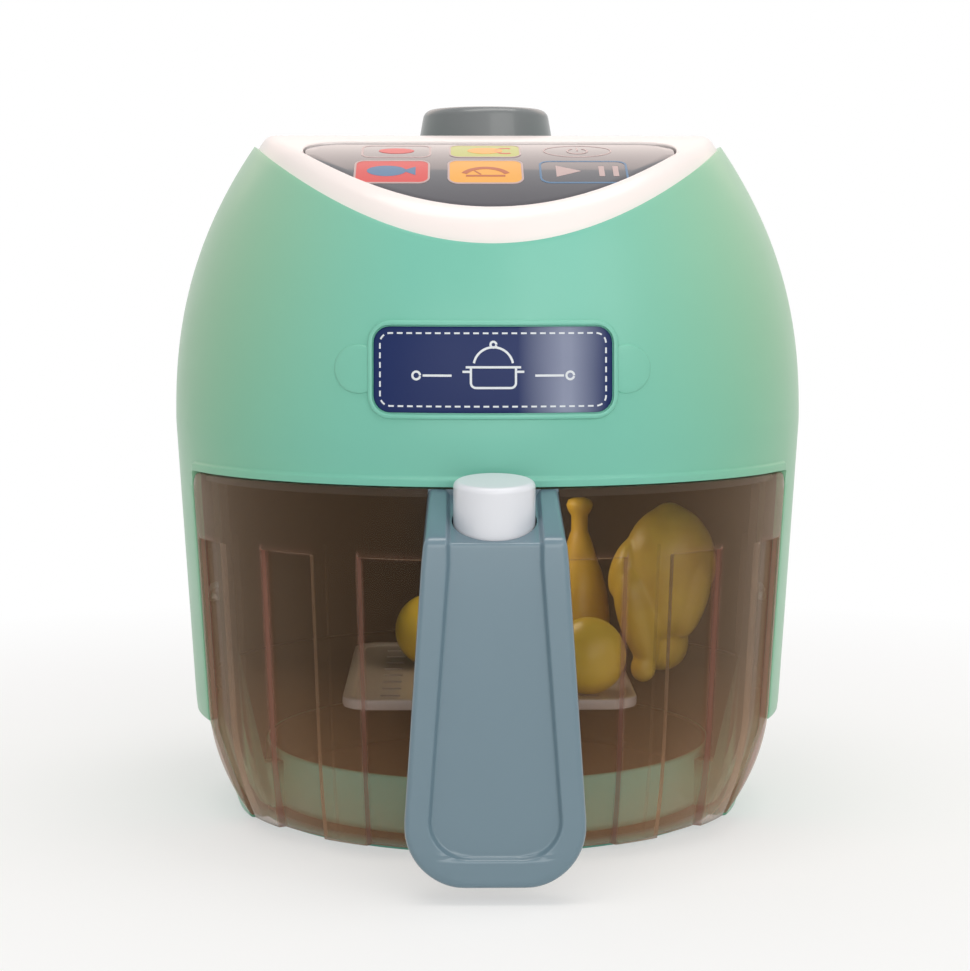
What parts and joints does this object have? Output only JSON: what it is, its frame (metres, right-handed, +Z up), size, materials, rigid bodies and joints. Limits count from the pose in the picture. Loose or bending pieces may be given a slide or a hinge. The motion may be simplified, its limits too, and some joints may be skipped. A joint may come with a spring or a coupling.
{
  "type": "toy air fryer",
  "caption": "Toy air fryer: barrel housing with sliced glossy control top, smoked fluted drawer that slides out with rack and play food, sprung handle button, lift-off cap.",
  "frame": {"origin": "on the barrel's axis, in the plane that the base stands on", "axes": "+Z up, -Y towards the handle and the drawer's front, +X to the right as seen from the front"},
  "size_m": [0.1732, 0.2006, 0.1955],
  "materials": {
    "mint_plastic": "moulded, glossy mint green",
    "white_plastic": "moulded warm white, satin gloss",
    "panel_lens": "glossy black sheet with printed icons",
    "badge_print": "navy printed plate",
    "handle_plastic": "moulded blue-grey, satin gloss",
    "cap_plastic": "moulded grey, satin",
    "smoked_plastic": "clear smoked brown plastic",
    "rack_plastic": "pale grey moulded",
    "steel": "zinc plated",
    "board_green": "glass-fibre board with green solder mask",
    "black_plastic": "moulded black, matte",
    "lamp_plastic": "translucent orange",
    "cell_wrap": "plain blue sleeve",
    "roast_plastic": "soft-edged moulded play food, ochre",
    "potato_plastic": "moulded play food, yellow"
  },
  "bodies": {
    "housing": {"front_shell": "mint_plastic", "rear_shell": "mint_plastic", "rear_deck": "mint_plastic", "base_pan": "mint_plastic", "chamber_ceiling": "mint_plastic", "lamp_lens": "lamp_plastic", "speaker": "black_plastic", "top_bezel": "white_plastic", "control_panel": "panel_lens", "circuit_board": "board_green", "badge_plate": "badge_print", "mist_well": "white_plastic", "battery_box": "black_plastic", "battery_1": "cell_wrap", "battery_2": "cell_wrap", "battery_door": "mint_plastic", "door_screw": "steel", "shell_screw_left_low": "steel", "shell_screw_left_high": "steel", "shell_screw_right_low": "steel", "shell_screw_right_high": "steel"},
    "drawer": {"drawer_window": "smoked_plastic", "drawer_tray": "mint_plastic", "grill_rack": "rack_plastic", "handle_shell": "handle_plastic", "handle_back": "handle_plastic", "handle_screw_left": "steel", "handle_screw_right": "steel", "button_spring": "steel", "roast_chicken": "roast_plastic", "drumstick": "roast_plastic", "potato_1": "potato_plastic", "potato_2": "potato_plastic"},
    "release_button": {"release_button": "white_plastic"},
    "mist_cap": {"mist_cap": "cap_plastic"}
  },
  "joints": [
    {"name": "drawer_slide", "type": "slide", "parent": "housing", "child": "drawer", "axis": [0, -1, 0], "range_m": [0, 0.11]},
    {"name": "button_press", "type": "slide", "parent": "drawer", "child": "release_button", "axis": [0, 0.1219, -0.9925], "range_m": [0, 0.003], "stiffness_N_per_m": 200, "springref_m": -0.002, "deforming": ["button_spring"]},
    {"name": "cap_lift", "type": "slide", "parent": "housing", "child": "mist_cap", "axis": [0, 0, 1], "range_m": [0, 0.03]}
  ]
}
